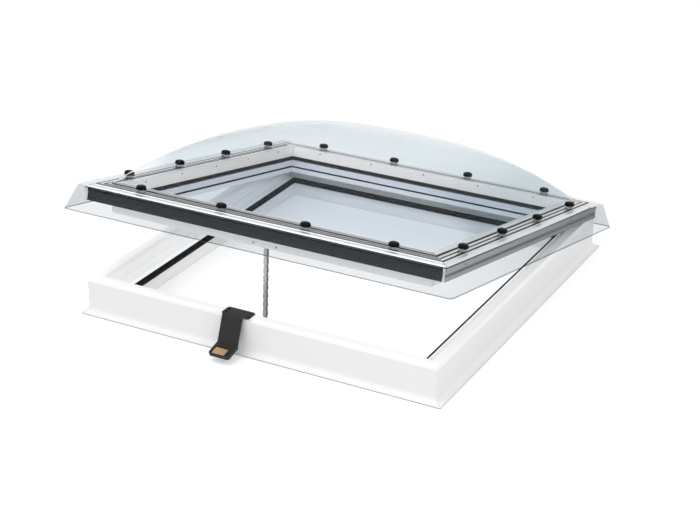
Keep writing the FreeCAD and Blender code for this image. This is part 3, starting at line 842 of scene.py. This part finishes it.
def model_caps():
    """Domed caps with a shallow dimple in the middle."""
    bpy.ops.mesh.primitive_cylinder_add(vertices=40, radius=CAP_RADIUS, depth=CAP_TOP - CAP_FOOT,
                                        location=(0, 0, (CAP_TOP + CAP_FOOT) / 2))
    cap = start("screw_cap")
    pick(cap, "EDGE", lambda a, b: min(a.z, b.z) > CAP_TOP - 0.001)
    bpy.ops.mesh.bevel(offset=0.0076, segments=6, affect="EDGES")
    pick(cap, "EDGE", lambda a, b: max(a.z, b.z) < CAP_FOOT + 0.001)
    bpy.ops.mesh.bevel(offset=0.001, segments=2, affect="EDGES")
    pick(cap, "FACE", looks_up)
    bpy.ops.mesh.inset(thickness=0.003)
    extrude(-DIMPLE_DEPTH)
    widen(DIMPLE_SLOPE)
    leave_edit()
    copies(cap, cap_places, cap_black, ("screw_caps",))


def model_collars():
    """Stepped collars that carry the caps."""
    bpy.ops.mesh.primitive_cylinder_add(vertices=36, radius=COLLAR_RADIUS, depth=COLLAR_FOOT,
                                        location=(0, 0, COLLAR_FOOT / 2))
    collar = start("clear_collar")
    pick(collar, "FACE", looks_up)
    bpy.ops.mesh.inset(thickness=0.0030)
    extrude(CAP_FOOT - COLLAR_FOOT)
    leave_edit()
    copies(collar, cap_places, collar_clear, ("cap_collars",))


model_caps()
model_collars()


# Small screws and pin heads, each modelled upright with its seat at the origin

def add_screws(name, size, places, material):
    """Round heads with a sunken drive, one at each place; size is the radius and the height."""
    radius, height = size
    bpy.ops.mesh.primitive_cylinder_add(vertices=20, radius=radius, depth=height,
                                        location=(0, 0, height / 2))
    screw = start(name)
    pick(screw, "EDGE", lambda a, b: min(a.z, b.z) > height * 0.9)
    bpy.ops.mesh.bevel(offset=height * 0.6, segments=3, affect="EDGES")
    pick(screw, "FACE", looks_up)
    bpy.ops.mesh.inset(thickness=radius * 0.18)
    extrude(-height * 0.6)
    leave_edit()
    copies(screw, places, material)


INNER_WALL_Y = -0.507
inner_wall = [swing @ around(side) @ facing(x, INNER_WALL_Y, z=0.150, turn_x=-90)
              for side in SIDES for x in (-0.4, -0.2, 0.0, 0.2, 0.4)]
add_screws("wall_screw", (0.0024, 0.0012), inner_wall, screw_dark)

SASH_FACE_Y = -0.532
RAIL_LEG_Y = -0.5898
sash_face = [swing @ facing(x, SASH_FACE_Y, z=0.078, turn_x=90) for x in (-0.038, 0.038)]
rail_legs = [swing @ around(side) @ facing(x, RAIL_LEG_Y, z=0.133, turn_x=90)
             for side in ("right", "left") for x in (-0.46, 0.356)]
add_screws("sash_screw", (0.0026, 0.0012), sash_face + rail_legs, screw_dark)

SENSOR_TOP = 0.121
sensor_top = [facing(x, y, SENSOR_TOP) for x in (-0.096, -0.021) for y in (-0.582, -0.566)]
add_screws("sensor_screw", (0.0028, 0.0016), sensor_top, cap_black)

HINGE_X = 0.35
LEAF_FACE_Y = 0.5905
hinge_leaves = [facing(end * HINGE_X + x, LEAF_FACE_Y, z, turn_x=-90)
                for end in (-1, 1) for x, z in ((-0.028, 0.074), (0.0, 0.086), (0.028, 0.074))]
add_screws("leaf_screw", (0.0038, 0.0022), hinge_leaves, hinge_zinc)

CHAIN_X = -0.026
BRACKET_FACE_Y = -0.501
bracket = [swing @ facing(CHAIN_X + x, BRACKET_FACE_Y, z=0.074, turn_x=-90) for x in (-0.023, 0.023)]
add_screws("bracket_screw", (0.0030, 0.0018), bracket, hinge_zinc)

# The chain leans from its seat on the drive to its pin on the swung sash; heads sit on both its sides
CHAIN_FOOT_Y = -0.484
CHAIN_FOOT_Z = 0.03155
CHAIN_HALF_WIDTH = 0.006
PIN_PITCH = 0.0135
FOOT_CLEARANCE = 0.016
chain_top = swing @ Vector((0, -0.478, 0.073))
chain_run = (chain_top.y - CHAIN_FOOT_Y, chain_top.z - CHAIN_FOOT_Z)
chain_length = math.hypot(*chain_run)
along_chain = (Matrix.Translation((CHAIN_X, CHAIN_FOOT_Y, CHAIN_FOOT_Z))
               @ Matrix.Rotation(-math.atan2(*chain_run), 4, "X"))
pin_count = int((chain_length - FOOT_CLEARANCE) / PIN_PITCH)
pin_ends = [along_chain @ facing(end * CHAIN_HALF_WIDTH, 0, chain_length - number * PIN_PITCH,
                                 turn_y=end * 90)
            for number in range(1, pin_count + 1) for end in (-1, 1)]
add_screws("chain_pin_head", (0.0021, 0.0008), pin_ends, hinge_zinc)


# Camera, as solved from the photograph

FOCAL_LENGTH = 86.77
SENSOR_WIDTH = 36.0
CAMERA_PLACE = (2.2943, -4.2394, 2.3419)
CAMERA_DOWN = 25.37
CAMERA_TURN = 28.46
camera_data = bpy.data.cameras.new("photo_camera")
camera_data.lens = FOCAL_LENGTH
camera_data.sensor_width = SENSOR_WIDTH
camera = bpy.data.objects.new("photo_camera", camera_data)
camera.location = CAMERA_PLACE
camera.rotation_euler = (math.radians(90 - CAMERA_DOWN), 0, math.radians(CAMERA_TURN))
bpy.context.scene.collection.objects.link(camera)
bpy.context.scene.camera = camera


# White studio: floor, surroundings and three soft lamps

def seen_directly(tree):
    """1 for what the camera, mirrors and glass see, 0 for the light that falls on things."""
    path = tree.nodes.new("ShaderNodeLightPath")
    seen = maths(tree, "MAXIMUM", path.outputs["Is Camera Ray"], path.outputs["Is Glossy Ray"])
    return maths(tree, "MAXIMUM", seen, path.outputs["Is Transmission Ray"])


FLOOR_SIZE = 60
FLOOR_DROP = 0.0005
# White that the floor shows by itself near the window, and what is added far off, where the lamps fade
FLOOR_GLOW = 0.28
FAR_GLOW = 0.14
FAR_FROM = 3.0
FAR_RISE = 0.1


def make_floor():
    material, tree, shader = material_named("floor_white")
    shader.inputs["Base Color"].default_value = (0.78, 0.78, 0.78, 1)
    shader.inputs["Roughness"].default_value = 0.9
    shader.inputs["Specular IOR Level"].default_value = 0.0
    shader.inputs["Emission Color"].default_value = (1, 1, 1, 1)
    coords = tree.nodes.new("ShaderNodeTexCoord")
    distance = tree.nodes.new("ShaderNodeVectorMath")
    distance.operation = "LENGTH"
    link(tree, coords.outputs["Object"], distance.inputs[0])
    far = above(tree, distance.outputs["Value"], FAR_FROM, FAR_RISE)
    glow = maths(tree, "ADD", times(tree, far, FAR_GLOW), FLOOR_GLOW)
    link(tree, times(tree, seen_directly(tree), glow), shader.inputs["Emission Strength"])
    bpy.ops.object.select_all(action="DESELECT")
    bpy.ops.mesh.primitive_plane_add(size=FLOOR_SIZE, location=(0, 0, -FLOOR_DROP))
    floor = bpy.context.active_object
    floor.name = "floor"
    floor.data.materials.append(material)


WORLD_LIGHT = 0.77
WORLD_SEEN_MORE = 0.23


def make_world():
    world = bpy.data.worlds.new("studio")
    bpy.context.scene.world = world
    world.use_nodes = True
    tree = world.node_tree
    background = tree.nodes["Background"]
    background.inputs["Color"].default_value = (1, 1, 1, 1)
    lift = times(tree, seen_directly(tree), WORLD_SEEN_MORE)
    link(tree, maths(tree, "ADD", lift, WORLD_LIGHT), background.inputs["Strength"])


def soft_lamp(name, place, aim, size, power):
    data = bpy.data.lights.new(name, "AREA")
    data.shape = "RECTANGLE"
    data.size = size
    data.size_y = size
    data.energy = power
    lamp = bpy.data.objects.new(name, data)
    lamp.location = place
    lamp.rotation_euler = (Vector(aim) - Vector(place)).to_track_quat("-Z", "Y").to_euler()
    bpy.context.scene.collection.objects.link(lamp)


make_floor()
make_world()
soft_lamp("key_lamp", place=(-2.0, -2.5, 5.5), aim=(0, 0, 0.2), size=6.0, power=135)
soft_lamp("front_lamp", place=(0.8, -5.5, 3.0), aim=(0, 0.2, 0.3), size=3.0, power=28)
soft_lamp("fill_lamp", place=(4.0, -2.0, 3.5), aim=(0, 0, 0.2), size=4.0, power=70)

bpy.context.scene.view_settings.view_transform = "Standard"
